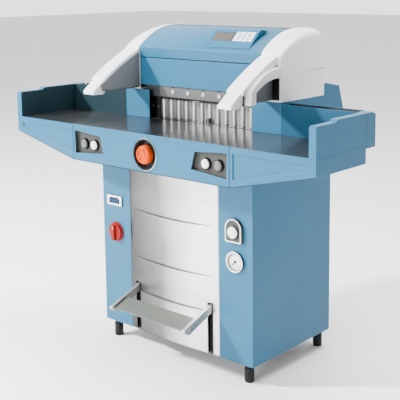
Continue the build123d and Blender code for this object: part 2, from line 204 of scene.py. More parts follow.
def inner_paint(name, colour):
    """Paint inside the side trays with painted shade: darkened in both trays, and near black in the tray at
    the operator's left as a painted shadow of its side wall.
    """
    shader = Shader(name)
    # Painted shade: the left tray's colour is a painted shadow, and the right tray's paint is darkened to 0.6
    # as painted shade.
    left_tray_painted_shadow, right_tray_painted_shade = (0.008, 0.022, 0.029), shade(colour, 0.6)
    right_side = shader.ramp(shader.across(), (0, 0), (0.01, 1))
    shader.set(Base_Color=shader.blend(right_side, left_tray_painted_shadow, right_tray_painted_shade))
    shader.set(Roughness=shader.noise(26, 5) * 0.1 + 0.42, Specular_IOR_Level=0.12)
    shader.bump(shader.noise(900, 2), 0.12, 0.0004)
    return shader.material


def moulded_plastic(name, colour, rough=0.4, grain=1400, coat=0.0, shine=0.5):
    """Moulded plastic with a fine eroded grain and a little tone variation."""
    shader = Shader(name)
    tone = shader.ramp(shader.noise(9, 3), (0.3, 0), (0.75, 1))
    shader.set(Base_Color=shader.blend(tone, shade(colour, 0.95), shade(colour, 1.0)))
    polish = shader.ramp(shader.noise(60, 4), (0.35, 0), (0.7, 1))
    shader.set(Roughness=polish * 0.1 + rough, Coat_Weight=coat, Coat_Roughness=0.1, Specular_IOR_Level=shine)
    shader.bump(shader.noise(grain, 3), 0.15, 0.0002)
    return shader.material


def ground_metal(name, colour, rough, stretch, scale=60, depth=0.08, spread=0.16, metallic=1.0):
    """Metal with fine parallel marks left by grinding, brushing or rolling."""
    shader = Shader(name)
    lines = shader.noise(scale, 6, stretch, 0.7)
    streak = shader.ramp(lines, (0.35, 0), (0.65, 1))
    haze_and_painted_reflection = shader.ramp(shader.noise(7, 4), (0.35, 0), (0.7, 1))
    shader.set(Base_Color=shader.blend(streak, shade(colour, 0.9), shade(colour, 1.06)))
    shader.set(Roughness=streak * spread + haze_and_painted_reflection * 0.06 + rough, Metallic=metallic)
    shader.bump(lines, depth, 0.0003)
    return shader.material


def front_panel_steel(name):
    """Bright steel brushed across, with a painted reflection: the base colour runs from dark grey at the
    operator's left to bright at the right.
    """
    shader = Shader(name)
    lines = shader.noise(45, 6, (1, 40, 40), 0.7)
    # Painted reflection: the base colour brightens from left to right across the panel, with a little random
    # tone.
    haze_and_painted_reflection = shader.noise(3, 3) * 0.5 + shader.across() * 2.2 + 0.25
    painted_reflection_tone = shader.ramp(haze_and_painted_reflection, (0.0, 0.04), (0.35, 0.19), (0.75, 0.9))
    streak = shader.ramp(lines, (0.3, 0.93), (0.7, 1.04))
    shader.set(Base_Color=shader.tint(painted_reflection_tone * streak), Metallic=0.8, Roughness=lines * 0.2 + 0.3)
    shader.bump(lines, 0.05, 0.0003)
    return shader.material


def cast_metal(name, colour):
    """Painted casting with a coarse sand-cast skin."""
    shader = Shader(name)
    pits = shader.noise(220, 6, roughness=0.65)
    shader.set(Base_Color=shader.blend(pits, shade(colour, 0.8), shade(colour, 1.2)))
    shader.set(Roughness=pits * 0.25 + 0.4)
    shader.bump(pits, 0.5, 0.0008)
    return shader.material


def lit_window(name, colour, glow, strength, gloss=0.6):
    """A display behind a glossy window, with a faint grid of picture cells."""
    shader = Shader(name)
    grid = {"Vector": shader.place(), "Scale": 900.0}
    cells = shader.node("ShaderNodeTexChecker", inputs=grid, output="Fac")
    shader.set(Base_Color=shader.blend(cells, shade(colour, 0.85), colour))
    shader.set(Roughness=shader.noise(40) * 0.06 + 0.08, Coat_Weight=gloss, Specular_IOR_Level=gloss * 0.8)
    shader.set(Emission_Color=shader.blend(cells, shade(glow, 0.9), glow), Emission_Strength=strength)
    return shader.material


def studio_floor(name, colour):
    shader = Shader(name)
    cloud = shader.ramp(shader.noise(1.2, 3), (0.3, 0), (0.7, 1))
    shader.set(Base_Color=shader.blend(cloud, shade(colour, 0.99), colour), Roughness=0.9)
    return shader.material


class FINISH_PG_settings(bpy.types.PropertyGroup):
    """Colours of the machine's paints, plastics and metals."""

    paint: bpy.props.FloatVectorProperty(
        name="Paint", description="Colour of the painted sheet metal", subtype="COLOR",
        size=3, min=0, max=1, default=(0.014, 0.104, 0.193))
    shell: bpy.props.FloatVectorProperty(
        name="Shell", description="Colour of the moulded covers and safety arms", subtype="COLOR",
        size=3, min=0, max=1, default=(0.8, 0.8, 0.81))
    panel: bpy.props.FloatVectorProperty(
        name="Arm panel", description="Colour of the panels let into the safety arms", subtype="COLOR",
        size=3, min=0, max=1, default=(0.15, 0.157, 0.163))
    table: bpy.props.FloatVectorProperty(
        name="Table", description="Colour of the ground table plates", subtype="COLOR",
        size=3, min=0, max=1, default=(0.038, 0.041, 0.043))
    wheel: bpy.props.FloatVectorProperty(
        name="Handwheel", description="Colour of the handwheel knob", subtype="COLOR",
        size=3, min=0, max=1, default=(0.6, 0.062, 0.0))
    switch: bpy.props.FloatVectorProperty(
        name="Main switch", description="Colour of the rotary main switch", subtype="COLOR",
        size=3, min=0, max=1, default=(0.2, 0.006, 0.004))


class SHAPE_PG_settings(bpy.types.PropertyGroup):
    """Sizes that set how soft or crisp the machine's edges look."""

    sheet_edge: bpy.props.FloatProperty(
        name="Sheet edge", description="Radius of the folded sheet edges", default=1.2,
        min=0.1, max=4, unit="NONE")
    shell_edge: bpy.props.FloatProperty(
        name="Shell edge", description="Radius of the moulded covers' edges", default=9.0,
        min=1, max=16, unit="NONE")
    crease_depth: bpy.props.FloatProperty(
        name="Crease depth", description="How far each band of the steel panel steps back",
        default=4.5, min=0.2, max=10, unit="NONE")
    tread_ribs: bpy.props.IntProperty(
        name="Tread ribs", description="Number of ribs along the pedal tread", default=9, min=3, max=20)


finishes = {}


def colour_of(name):
    return tuple(getattr(bpy.context.scene.cutter_finish, name))


def make_finishes():
    across, upright, along = (1, 40, 40), (40, 40, 1), (40, 1, 40)
    finishes.update(
        blue_paint=sprayed_paint("blue_powder_coat", colour_of("paint")),
        # The trays' inner paint carries painted shade, darkest in the left tray.
        inner_paint=inner_paint("tray_powder_coat_painted_shade", colour_of("paint")),
        white_shell=moulded_plastic("white_moulded_shell", colour_of("shell"), 0.34, coat=0.15),
        arm_panel=moulded_plastic("grey_arm_panel", colour_of("panel"), 0.45),
        # The front panel's steel carries a painted reflection, darker towards the left.
        brushed_steel=front_panel_steel("brushed_steel_panel"),
        table_steel=ground_metal(
            "polished_table_steel", colour_of("table"), 0.13, along, 30, 0.02, spread=0.06, metallic=0.55),
        cast_frame=cast_metal("dark_casting", (0.028, 0.032, 0.036)),
        tool_steel=ground_metal(
            "ground_tool_steel", (0.12, 0.122, 0.124), 0.35, upright, 50, 0.06, metallic=0.75),
        bolt_steel=ground_metal("bright_bolt_steel", (0.9, 0.9, 0.9), 0.16, across, 90, 0.03),
        aluminium=ground_metal("anodised_aluminium", (0.4, 0.4, 0.39), 0.27, upright, 55, 0.05, metallic=0.9),
        black_plastic=moulded_plastic("black_plastic", (0.004, 0.0043, 0.0048), 0.4, 1100, shine=0.2),
        grey_plastic=moulded_plastic("dark_grey_plastic", (0.035, 0.037, 0.033), 0.42, 1100, shine=0.3),
        button_grey=moulded_plastic("grey_button", (0.09, 0.095, 0.1), 0.35, coat=0.2),
        white_plastic=moulded_plastic("white_button", (0.82, 0.82, 0.82), 0.22, coat=0.4),
        orange_plastic=moulded_plastic("orange_knob", colour_of("wheel"), 0.5, shine=0.04),
        red_plastic=moulded_plastic("red_switch", colour_of("switch"), 0.4, shine=0.15),
        cutting_plastic=moulded_plastic("cutting_stick_plastic", (0.03, 0.032, 0.035), 0.55),
        # Also used for dark sheets that paint shade: the fence channel liners and the strip behind the hood.
        dark_paint=sprayed_paint("dark_powder_coat_and_painted_shade", (0.03, 0.038, 0.045), 0.42),
        display_glass=lit_window("display_window", (0.06, 0.047, 0.042), (0.5, 0.38, 0.3), 0.03),
        counter_glass=lit_window("counter_window", (0.004, 0.012, 0.04), (0.03, 0.12, 0.35), 0.04, 0.08),
        # Dark paint for the wing joints, and for the painted shadow line along the apron's lower edge.
        seam_paint=sprayed_paint("shaded_seam_paint", shade(colour_of("paint"), 0.22), 0.6, 0),
        seam_shadow=ground_metal("seam_shadow", (0.035, 0.035, 0.036), 0.6, across, 45, 0.05, metallic=0.0),
        counter_digits=moulded_plastic("counter_digits", (0.03, 0.09, 0.2), 0.4, shine=0.2),
        tread=ground_metal("rolled_tread", (0.1, 0.11, 0.095), 0.4, across, 70, 0.08, metallic=0.5),
        studio=studio_floor("studio_floor", (1.0, 1.0, 1.0)),
    )


# Mesh forms ---------------------------------------------------------------------------
class Form:
    """A mesh in millimetres that becomes one riding piece."""

    def __init__(self):
        self.mesh = bmesh.new()

    def skin(self, loops, start_cap=True, end_cap=True):
        """Join loops of equally many points, and close the ends."""
        rows = [[self.mesh.verts.new(point) for point in loop] for loop in loops]
        count = len(rows[0])
        for first, second in zip(rows, rows[1:]):
            for number in range(count):
                after = (number + 1) % count
                self.mesh.faces.new((first[number], first[after], second[after], second[number]))
        if start_cap:
            self.mesh.faces.new(rows[0][::-1])
        if end_cap:
            self.mesh.faces.new(rows[-1])
        return self

    def prism(self, outline, axis, start, end):
        """Extrude an outline of the two other coordinates along an axis."""
        place = "xyz".index(axis)
        return self.skin([[(*point[:place], along, *point[place:]) for point in outline]
                          for along in (start, end)])

    def box(self, x, depth, height):
        (front, back), (bottom, top) = depth, height
        return self.prism([(front, bottom), (back, bottom), (back, top), (front, top)], "x", *x)

    def lathe(self, profile, x, height, steps=72):
        """Turn a profile of radius and depth about an axis that runs backwards."""
        loops = []
        for radius, depth in profile:
            turn = [2 * math.pi * step / steps for step in range(steps)]
            loops.append([(x + radius * math.cos(a), depth, height + radius * math.sin(a)) for a in turn])
        capped = profile[0] != profile[-1]
        return self.skin(loops, start_cap=capped, end_cap=capped)

    def mirrored(self):
        """Add the mirror image on the machine's other side."""
        copy = bmesh.ops.duplicate(self.mesh, geom=self.mesh.verts[:] + self.mesh.faces[:])
        moved = [part for part in copy["geom"] if isinstance(part, bmesh.types.BMVert)]
        for vertex in moved:
            vertex.co.x = -vertex.co.x
        return self

    def piece(self, name, body, slot, finish=None, replaces=(), edge=0.0, segments=3, angle=35):
        """Make the object, ride it on a body and give it its finish."""
        bmesh.ops.remove_doubles(self.mesh, verts=self.mesh.verts[:], dist=0.001)
        bmesh.ops.recalc_face_normals(self.mesh, faces=self.mesh.faces[:])
        self.mesh.transform(Matrix.Translation((0, FACE, 0)) @ Matrix.Scale(MM, 4))
        mesh = bpy.data.meshes.new(name)
        self.mesh.to_mesh(mesh)
        self.mesh.free()
        mesh.shade_smooth()
        mesh.set_sharp_from_angle(angle=math.radians(angle))
        made = bpy.data.objects.new(name, mesh)
        bpy.context.scene.collection.objects.link(made)
        made.data.materials.append(finishes[finish or slot])
        if edge:
            soften(made, edge, segments, angle)
        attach(made, body)
        if replaces:
            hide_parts(*([replaces] if isinstance(replaces, str) else replaces))
        return made


def soften(made, edge, segments=2, angle=35):
    """Round an object's sharp edges, in millimetres."""
    bevel = made.modifiers.new("rounded_edges", "BEVEL")
    bevel.width = edge * MM
    bevel.segments = segments
    bevel.limit_method = "ANGLE"
    bevel.angle_limit = math.radians(angle)
    bevel.harden_normals = True
    bevel.use_clamp_overlap = True


def thicken(made, sheet):
    """Give an open skin the thickness of its sheet, in millimetres, on its inner side."""
    thick = made.modifiers.new("sheet_thickness", "SOLIDIFY")
    thick.thickness = sheet * MM
    thick.offset = -1


def arc(start, through, end, steps=16):
    """Points along the circle through three points of a plane."""
    (ax, ay), (bx, by), (cx, cy) = start, through, end
    d = 2 * (ax * (by - cy) + bx * (cy - ay) + cx * (ay - by))
    a2, b2, c2 = ax * ax + ay * ay, bx * bx + by * by, cx * cx + cy * cy
    ox = (a2 * (by - cy) + b2 * (cy - ay) + c2 * (ay - by)) / d
    oy = (a2 * (cx - bx) + b2 * (ax - cx) + c2 * (bx - ax)) / d
    radius = math.hypot(ax - ox, ay - oy)
    first, last = math.atan2(ay - oy, ax - ox), math.atan2(cy - oy, cx - ox)
    inside = math.atan2(by - oy, bx - ox)
    turn = (last - first) % (2 * math.pi)
    if (inside - first) % (2 * math.pi) > turn:
        turn -= 2 * math.pi
    angles = [first + turn * step / steps for step in range(steps + 1)]
    return [(ox + radius * math.cos(a), oy + radius * math.sin(a)) for a in angles]


def turned(outline, degrees, x, height):
    """An outline of radius and sideways points, turned and set round a place."""
    turn = math.radians(degrees)
    return [(x + radius * math.cos(turn) - side * math.sin(turn),
             height + radius * math.sin(turn) + side * math.cos(turn)) for radius, side in outline]


def frame_slot(node):
    """The material slot that the record gives a node."""
    return next(part["material_slot"] for part in frame["record"]["subparts"] if part["node"] == node)


class CutterPiece:
    """What the machine's operators share."""

    bl_options = {"REGISTER", "UNDO"}

    @property
    def shape(self):
        return bpy.context.scene.cutter_shape


# Operators ----------------------------------------------------------------------------
class CUTTER_OT_finishes(CutterPiece, bpy.types.Operator):
    """Make the finishes and put them on every part of the frame"""

    bl_idname = "cutter.finishes"
    bl_label = "Finishes"

    def execute(self, context):
        make_finishes()
        for part in frame["record"]["subparts"]:
            node = frame["nodes"][part["node"]]
            node.data.materials.clear()
            node.data.materials.append(finishes[part["material_slot"]])
        plates = frame["nodes"]["wing_tables"].data
        plates.materials.append(finishes["blue_paint"])
        for face in plates.polygons:
            face.material_index = int(abs(face.normal.z) < FACING)
        # The trays' inward faces and fence fronts get the paint with painted shade.
        for name in ("wing_side_walls", "wing_rear_fences"):
            walls = frame["nodes"][name].data
            walls.materials.append(finishes["inner_paint"])
            for face in walls.polygons:
                inward = -face.normal.x if face.center.x > 0 else face.normal.x
                fence_front = name == "wing_rear_fences" and face.normal.y < -FACING
                face.material_index = int(inward > FACING or fence_front)
        return {"FINISHED"}


class CUTTER_OT_sheet_edges(CutterPiece, bpy.types.Operator):
    """Round the edges of the folded sheets, plates and castings"""

    bl_idname = "cutter.sheet_edges"
    bl_label = "Sheet edges"

    nodes = (
        "left_column_panel", "right_column_panel", "pedestal_side_panels", "rear_panel", "front_apron",
        "wing_bodies", "wing_side_walls", "wing_rear_fences", "frame_covers", "fascia", "hood",
        "rear_hood", "rear_table_walls", "button_pods", "levelling_feet", "side_frames", "crossbeam",
        "clamp_beam", "electrical_box", "hydraulic_power_pack", "gauge_carriage",
    )

    def execute(self, context):
        weld_gap, flat_within = 0.02 * MM, math.radians(0.6)
        for name in self.nodes:
            node = frame["nodes"][name]
            weld = node.modifiers.new("joined_faces", "WELD")
            weld.merge_threshold = weld_gap
            merge = node.modifiers.new("flat_faces_joined", "DECIMATE")
            merge.decimate_type = "DISSOLVE"
            merge.angle_limit = flat_within
            soften(node, self.shape.sheet_edge)
        return {"FINISHED"}


class CUTTER_OT_steel_panel(CutterPiece, bpy.types.Operator):
    """Make the bowed steel front panel, with its curved creases and pedal slots"""

    bl_idname = "cutter.steel_panel"
    bl_label = "Steel front panel"

    creases, crease_sag = (551, 363, 229), 9
    slot, slot_top, edge_line = (174, 200), 262, 213

    def execute(self, context):
        self.make_sheet()
        self.make_crease_shadows()
        self.make_slot_shields()
        return {"FINISHED"}

    def bowed(self, share):
        """The panel's depth at a share of its half width."""
        return low("steel_front_panel").y * (1 - share * share)

    def make_sheet(self):
        """Make the sheet, whose rows of faces follow the curve of the creases."""
        bottom, corner = low("steel_front_panel").z, high("steel_front_panel")
        half, top = corner.x, corner.z
        inner_steps, row_pitch, step_height, level_height = 30, 8, 0.6, 60
        band_start, band_height = 0.3, 130
        (inner, outer), slot_top, creases = self.slot, self.slot_top, self.creases
        inner_lines = [inner * (2 * number / inner_steps - 1) for number in range(inner_steps + 1)]
        columns = [-half, -self.edge_line, -outer, *inner_lines, outer, self.edge_line, half]
        rows = {bottom, slot_top, top, *creases, *(crease + step_height for crease in creases)}
        row_count = math.ceil((top - bottom) / row_pitch)
        rows = sorted(rows | {bottom + row_pitch * number for number in range(1, row_count)})
        form = Form()
        grid = []
        for row in rows:
            level_share = min(1, (row - bottom) / level_height, (top - row) / level_height)
            line = []
            for x in columns:
                share = x / half
                depth = self.bowed(share)
                for crease in creases:
                    if band_start <= row - crease < band_height:
                        step_back = (1 - (row - crease) / band_height) ** 2
                        depth += self.shape.crease_depth * step_back * (1 - share * share)
                rise = self.crease_sag * share * share * level_share
                line.append(form.mesh.verts.new((x, depth, row + rise)))
            grid.append(line)
        for row in range(len(rows) - 1):
            for column in range(len(columns) - 1):
                x = (columns[column] + columns[column + 1]) / 2
                if inner < abs(x) < outer and rows[row] < slot_top:
                    continue
                form.mesh.faces.new((grid[row][column], grid[row][column + 1],
                                     grid[row + 1][column + 1], grid[row + 1][column]))
        made = form.piece(
            "steel_front_panel_skin", ROOT, "brushed_steel", replaces="steel_front_panel", angle=20)
        thicken(made, 2)

    def make_crease_shadows(self):
        """Make dark strips that paint the shadow in the gap under each crease, widest in the middle."""
        half = high("steel_front_panel").x
        steps, reach, thin_gap, wide_gap = 60, 0.9, 0.3, 1.9
        seams = Form()
        for crease in self.creases:
            loops = []
            for number in range(steps + 1):
                share = (2 * number / steps - 1) * reach
                level = crease + self.crease_sag * share * share
                gap = thin_gap + wide_gap * (1 - abs(share / reach)) ** 0.6
                corners = ((-0.35, 0.2 - gap), (-0.35, gap), (2, gap), (2, -gap))
                loops.append([(share * half, self.bowed(share) + out, level + up) for out, up in corners])
            seams.skin(loops)
        seams.piece("steel_panel_crease_shadows", ROOT, "brushed_steel", "seam_shadow")

    def make_slot_shields(self):
        """Close the view into the pedestal behind the pedal's slots."""
        bottom, (inner, outer), lap = low("steel_front_panel").z, self.slot, 4
        shields = Form()
        shields.box((inner - lap, outer + lap), (8, 9), (bottom + 6, self.slot_top + 14)).mirrored()
        shields.piece("pedal_slot_shields", ROOT, "black_plastic")


class CUTTER_OT_side_covers(CutterPiece, bpy.types.Operator):
    """Make the moulded covers at each side of the hood"""

    bl_idname = "cutter.side_covers"
    bl_label = "Side covers"

    def execute(self, context):
        bottom, top = low("side_covers"), high("side_covers")
        front, base, edge = bottom.y, bottom.z, self.shape.shell_edge
        outer_drop, drop_at_edge = 24, 0.6

        def outline(share):
            """The cover's outline in depth and height, from the hood side (0) to the outside (1)."""
            drop = outer_drop * share
            crown = top.z - 0.2 - drop
            curve = arc((front, 1174 - 0.4 * drop), (234, 1230 - 0.9 * drop), (352 - 8 * share, crown), 20)
            rear = [(402 - 14 * share, crown), (421.5 - 2 * share, 1110), (419 - 2 * share, base)]
            return curve + rear + [(front, base)]

        def inward(points, amount):
            """Draw the outline in by an amount, apart from its open lower edge."""
            centre = (285, 1080)
            moved = []
            for y, z in points:
                dy, dz = centre[0] - y, centre[1] - z
                reach = math.hypot(dy, dz)
                lift = 0 if z <= base + 0.01 else amount * dz / reach
                moved.append((y + amount * dy / reach, z + lift))
            return moved

        inner_x, outer_x = HOOD_END, top.x
        flat_steps, round_steps = 8, 5
        loops = []
        for step in range(flat_steps + 1):
            share = step / flat_steps
            x = inner_x + (outer_x - edge - inner_x) * share
            loops.append([(x, *point) for point in outline(drop_at_edge * share ** 2.5)])
        for step in range(1, round_steps + 1):
            turn = math.pi / 2 * step / round_steps
            x = outer_x - edge + edge * math.sin(turn)
            points = inward(outline(drop_at_edge + (1 - drop_at_edge) * step / round_steps),
                            edge * (1 - math.cos(turn)))
            loops.append([(x, *point) for point in points])
        form = Form()
        form.skin(loops, start_cap=False)
        form.mirrored()
        made = form.piece("moulded_side_covers", ROOT, "white_shell", replaces="side_covers", angle=50)
        thicken(made, 2.5)

        lip = Form()
        upper = [(236, 1097.6), (300, 1101), (360, 1104.5), (420.4, 1106.5)]
        lower_edge = [(y, z + 2.4 * (y - 230) / 190) for y, z in upper[::-1]]
        lip.prism(upper + lower_edge, "x", outer_x - 2, outer_x + 0.25)
        lip.mirrored().piece("side_cover_joint_lines", ROOT, "grey_plastic", "button_grey")
        return {"FINISHED"}


class CUTTER_OT_safety_arms(CutterPiece, bpy.types.Operator):
    """Make the forward safety arms with their struts, tips and let-in panels"""

    bl_idname = "cutter.safety_arms"
    bl_label = "Safety arms"

    def execute(self, context):
        inner_x, outer_x = HOOD_END, 379
        back = high("safety_arms").y
        tip = low("safety_arms").y
        step_at = -46
        crown = arc((back, 1168), (30, 1109), (tip + 7, 1027.5), 28)
        long_top = [point for point in crown if point[0] > step_at + 2]
        short_top = [point for point in crown if point[0] < step_at + 8]

        shell = Form()
        under = arc((step_at + 6, 1046), (50, 1098), (back, 1138), 16)
        nose = [(step_at, long_top[-1][1] - 3), (step_at + 2, 1046)]
        shell.prism(long_top + nose + under, "x", inner_x, outer_x)
        shell.mirrored().piece(
            "safety_arm_shells", ROOT, "white_shell", replaces="safety_arms", edge=7, angle=30)

        tips = Form()
        outline = [(y, z - 5) for y, z in short_top]
        outline += [(tip, 1017), (tip, 1002.5), (-44, 1000.5), (-36, 1008), (-36, 1050)]
        tips.prism(outline, "x", inner_x + 3, outer_x - 7)
        tips.mirrored().piece("safety_arm_tips", ROOT, "white_shell", edge=6, angle=30)

        core = Form()
        inside = [(y, z - 9) for y, z in crown if y > tip + 30]
        core.prism(inside + [(-52, 1012), (-30, 1011), (back, 1011)], "x", inner_x + 2, 360)
        core.mirrored().piece("safety_arm_cores", ROOT, "white_shell", "arm_panel", edge=2)

        panel = Form()
        inside = [(y - 3, z - 14) for y, z in crown if y > -62]
        panel.prism(inside + [(-60, 1018), (-28, 1016), (back - 4, 1016)], "x", inner_x - 0.6, inner_x + 2.5)
        panel.mirrored().piece(
            "safety_arm_inner_panels", ROOT, "white_shell", "arm_panel", edge=1.2, segments=2)

        strut = Form()
        upper = arc((back, 1130), (50, 1106.5), (-18, 1057), 18)
        lower = arc((12, 1050), (62, 1077.5), (back, 1092), 14)
        strut.prism(upper + [(-19, 1009), (11, 1009)] + lower, "x", 362, high("arm_struts").x)
        strut.mirrored().piece(
            "safety_arm_struts", ROOT, "white_shell", replaces="arm_struts", edge=5, angle=30)

        hinge = Form()
        hinge.box((360, 388), (back - 6, back - 0.2), (1012, 1090))
        hinge.mirrored().piece("safety_arm_mounts", ROOT, "black_plastic", edge=1)
        return {"FINISHED"}


class CUTTER_OT_console(CutterPiece, bpy.types.Operator):
    """Make the console with its display and keypad"""

    bl_idname = "cutter.console"
    bl_label = "Console"

    def execute(self, context):
        start, end = low("control_box"), high("control_box")
        foot, ridge, tail = (start.y, 1186), (222, 1249), (268, 1243.5)
        form = Form()
        outline = [foot, ridge, (236, end.z - 0.2), tail, *arc(tail, (213, 1222), foot, 10)[1:-1]]
        form.prism(outline, "x", start.x, end.x)
        form.piece("console_case", ROOT, "blue_paint", replaces="control_box", edge=1.6)
        length = math.dist(foot, ridge)
        run, rise = (ridge[0] - foot[0]) / length, (ridge[1] - foot[1]) / length

        def plaque(form, x, up, proud, sink=1.0):
            corners = []
            for share, lift in ((up[0], -sink), (up[1], -sink), (up[1], proud), (up[0], proud)):
                y = foot[0] + share * length * run - lift * rise
                z = foot[1] + share * length * rise + lift * run
                corners.append((y, z))
            return form.prism(corners, "x", *x)

        plaque(Form(), (44, 139), (0.36, 0.84), 0.6).piece(
            "display_surround", ROOT, "blue_paint", "grey_plastic", edge=0.5)
        plaque(Form(), (49, 134), (0.41, 0.79), 1.0).piece(
            "display_screen", ROOT, "display_glass", replaces="display_window", edge=0.3)
        plaque(Form(), (143, 237), (0.36, 0.9), 0.5).piece("keypad_base", ROOT, "blue_paint", edge=0.4)
        keys = Form()
        pitch_x, pitch_up, first_x, first_up = 23, 0.132, 145.5, 0.375
        key_width, key_share, key_height = 19.5, 0.098, 2.2
        for column in range(4):
            for row in range(4):
                x, up = first_x + pitch_x * column, first_up + pitch_up * row
                plaque(keys, (x, x + key_width), (up, up + key_share), key_height)
        keys.piece("keypad_keys", ROOT, "white_plastic", replaces="keypad", edge=0.8)
        return {"FINISHED"}


class CUTTER_OT_cut_buttons(CutterPiece, bpy.types.Operator):
    """Make the four cut buttons with their collars"""

    bl_idname = "cutter.cut_buttons"
    bl_label = "Cut buttons"

    def execute(self, context):
        for side in ("left", "right"):
            for place in ("outer", "inner"):
                node = f"{side}_{place}_button"
                centre, front, end_of_pod = middle(node), low(node).y, -121.9
                inner = place == "inner"
                dome = [(0.5, front), (9, front + 0.1), (13.5, front + 0.6), (15.6, front + 1.8),
                        (16.4, front + 3.6), (16.6, front + 8), (9, front + 8.2), (9, high(node).y)]
                finish = "white_plastic" if inner else "button_grey"
                halo = [(17.5, end_of_pod - 7), (20, end_of_pod - 7),
                        (21.5, end_of_pod + 1), (17.5, end_of_pod + 1)]
                halo_form = Form().lathe(halo + halo[:1], centre.x, centre.z)
                halo_form.piece(f"{node}_surround", ROOT, "black_plastic")
                form = Form().lathe(dome, centre.x, centre.z)
                form.piece(f"{node}_cap", node, frame_slot(node), finish, replaces=node)
                groove = [(10.2, front + 0.1), (10.6, front - 0.15),
                          (11.4, front - 0.05), (11.6, front + 0.5)]
                ring = Form().lathe(groove + groove[:1], centre.x, centre.z)
                ring.piece(f"{node}_ring", node, frame_slot(node), finish if inner else "seam_shadow")
        return {"FINISHED"}


class CUTTER_OT_handwheel(CutterPiece, bpy.types.Operator):
    """Make the handwheel's knob, ring and bowl"""

    bl_idname = "cutter.handwheel"
    bl_label = "Handwheel"

    def execute(self, context):
        centre, front = middle("handwheel"), low("handwheel").y
        apron, height = low("front_apron").y, centre.z
        knob = [(0.5, front + 4), (7, front + 4.2), (9, front + 3), (12, front + 3.2), (15, front + 6.5),
                (21, front + 7), (24.5, front + 3), (27.5, front + 0.4), (30.5, front + 1.6),
                (33, front + 5.5), (34, front + 11), (34, front + 24), (10, front + 24),
                (10, high("handwheel").y)]
        form = Form().lathe(knob, 0, height)
        form.piece("handwheel_knob", "handwheel", "orange_plastic", replaces="handwheel")
        grip = Form()
        for number in range(3):
            spoke = turned([(6, -3), (24, -4.2), (24, 4.2), (6, 3)], 90 + 120 * number, 0, height)
            grip.prism(spoke, "y", front + 2.4, front + 9)
        grip.piece("handwheel_spokes", "handwheel", "orange_plastic", edge=1.4)

        lip = apron - 4
        bowl = [(52, lip), (53.5, lip + 3), (44, apron + 17), (12, apron + 18), (12, apron + 40),
                (40, apron + 24), (54, apron + 6), (54.9, apron), (57.5, apron - 0.1), (57.5, lip), (52, lip)]
        Form().lathe(bowl, 0, height).piece(
            "handwheel_bowl", ROOT, "black_plastic", replaces="handwheel_bezel")
        ring = [(54, lip + 0.1), (55, lip), (57.6, lip + 0.2), (58.9, lip + 1.4), (58.9, apron - 0.05),
                (56, apron - 0.05), (54, lip + 0.1)]
        Form().lathe(ring, 0, height).piece("handwheel_trim_ring", ROOT, "bolt_steel")
        return {"FINISHED"}


class CUTTER_OT_left_controls(CutterPiece, bpy.types.Operator):
    """Make the counter and the rotary main switch on the left column"""

    bl_idname = "cutter.left_controls"
    bl_label = "Counter and main switch"

    def execute(self, context):
        self.make_counter()
        self.make_main_switch()
        return {"FINISHED"}

    def make_counter(self):
        start, end = low("counter"), high("counter")
        end.y = -0.05
        Form().box((start.x, end.x), (start.y + 1, end.y), (start.z, end.z)).piece(
            "counter_plate", ROOT, "white_plastic", "grey_plastic", replaces="counter", edge=0.6)
        x, z, reach, rise, cut = (start.x + end.x) / 2, (start.z + end.z) / 2, 30.5, 12.5, 8

        def window(grow):
            side, up = reach + grow, rise + grow
            return [(x - side + 3, z - up), (x + side - 3, z - up),
                    (x + side, z - up + 3), (x + side, z + up - cut),
                    (x + side - cut, z + up), (x - side + cut, z + up),
                    (x - side, z + up - cut), (x - side, z - up + 3)]

        corners = [(start.x, start.z), (end.x, start.z), (end.x, end.z), (start.x, end.z)]
        rim, hole = [corners[number] for number in (0, 1, 1, 2, 2, 3, 3, 0)], window(0)
        bezel = Form()
        bezel.skin([[(px, start.y + depth, pz) for px, pz in loop]
                    for loop, depth in ((rim, 1.2), (rim, 0), (hole, 0), (hole, 1.2))],
                   start_cap=False, end_cap=False)
        bezel.piece("counter_bezel", ROOT, "white_plastic")
        Form().prism(window(0.5), "y", start.y + 0.9, start.y + 1.4).piece(
            "counter_screen", ROOT, "black_plastic", "counter_glass")
        digits = Form()
        pitch, width, line, foot, top = 10, 6, 1, z - 6.5, z + 6.7
        layer = (start.y + 0.6, start.y + 1)
        for number in range(5):
            left = x - 23.5 + pitch * number
            for bar in (foot, z - 0.6, z + 5.3):
                digits.box((left, left + width), layer, (bar, bar + line))
            for side in (left, left + width - line):
                digits.box((side, side + line), layer, (foot, top))
        digits.piece("counter_digits", ROOT, "white_plastic", "counter_digits")

    def make_main_switch(self):
        centre, face = middle("main_switch_base"), low("main_switch_base").y
        base = [(30, face + 0.3), (37, face), (39.4, face + 1.4),
                (39.8, -0.1), (6.5, -0.1), (6.5, face + 0.4)]
        Form().lathe(base + base[:1], centre.x, centre.z).piece(
            "main_switch_ring", ROOT, "red_plastic", replaces="main_switch_base")
        front = low("main_switch_knob").y
        disc = [(0.5, -13.5), (31, -13.6), (34, -12.8), (35, -10.5), (35, -5.6), (6, -5.6), (6, 18)]
        Form().lathe(disc, centre.x, centre.z).piece(
            "main_switch_disc", "main_switch_knob", "red_plastic", replaces="main_switch_knob")
        grip = Form()
        x, z = centre.x, centre.z
        foot = [(x - 9.5, z - 34), (x + 9.5, z - 34), (x + 9.5, z + 25),
                (x + 5, z + 29), (x - 5, z + 29), (x - 9.5, z + 25)]
        head = [(x + (px - x) * 0.62, z + (pz - z) * 0.95) for px, pz in foot]
        grip.skin([[(px, -13, pz) for px, pz in foot], [(px, front + 0.1, pz) for px, pz in head]])
        grip.piece("main_switch_grip", "main_switch_knob", "red_plastic", edge=2)
        mark = Form()
        mark.box((x - 0.9, x + 0.9), (front, front + 0.5), (z + 12, z + 25))
        mark.piece("main_switch_mark", "main_switch_knob", "white_plastic")


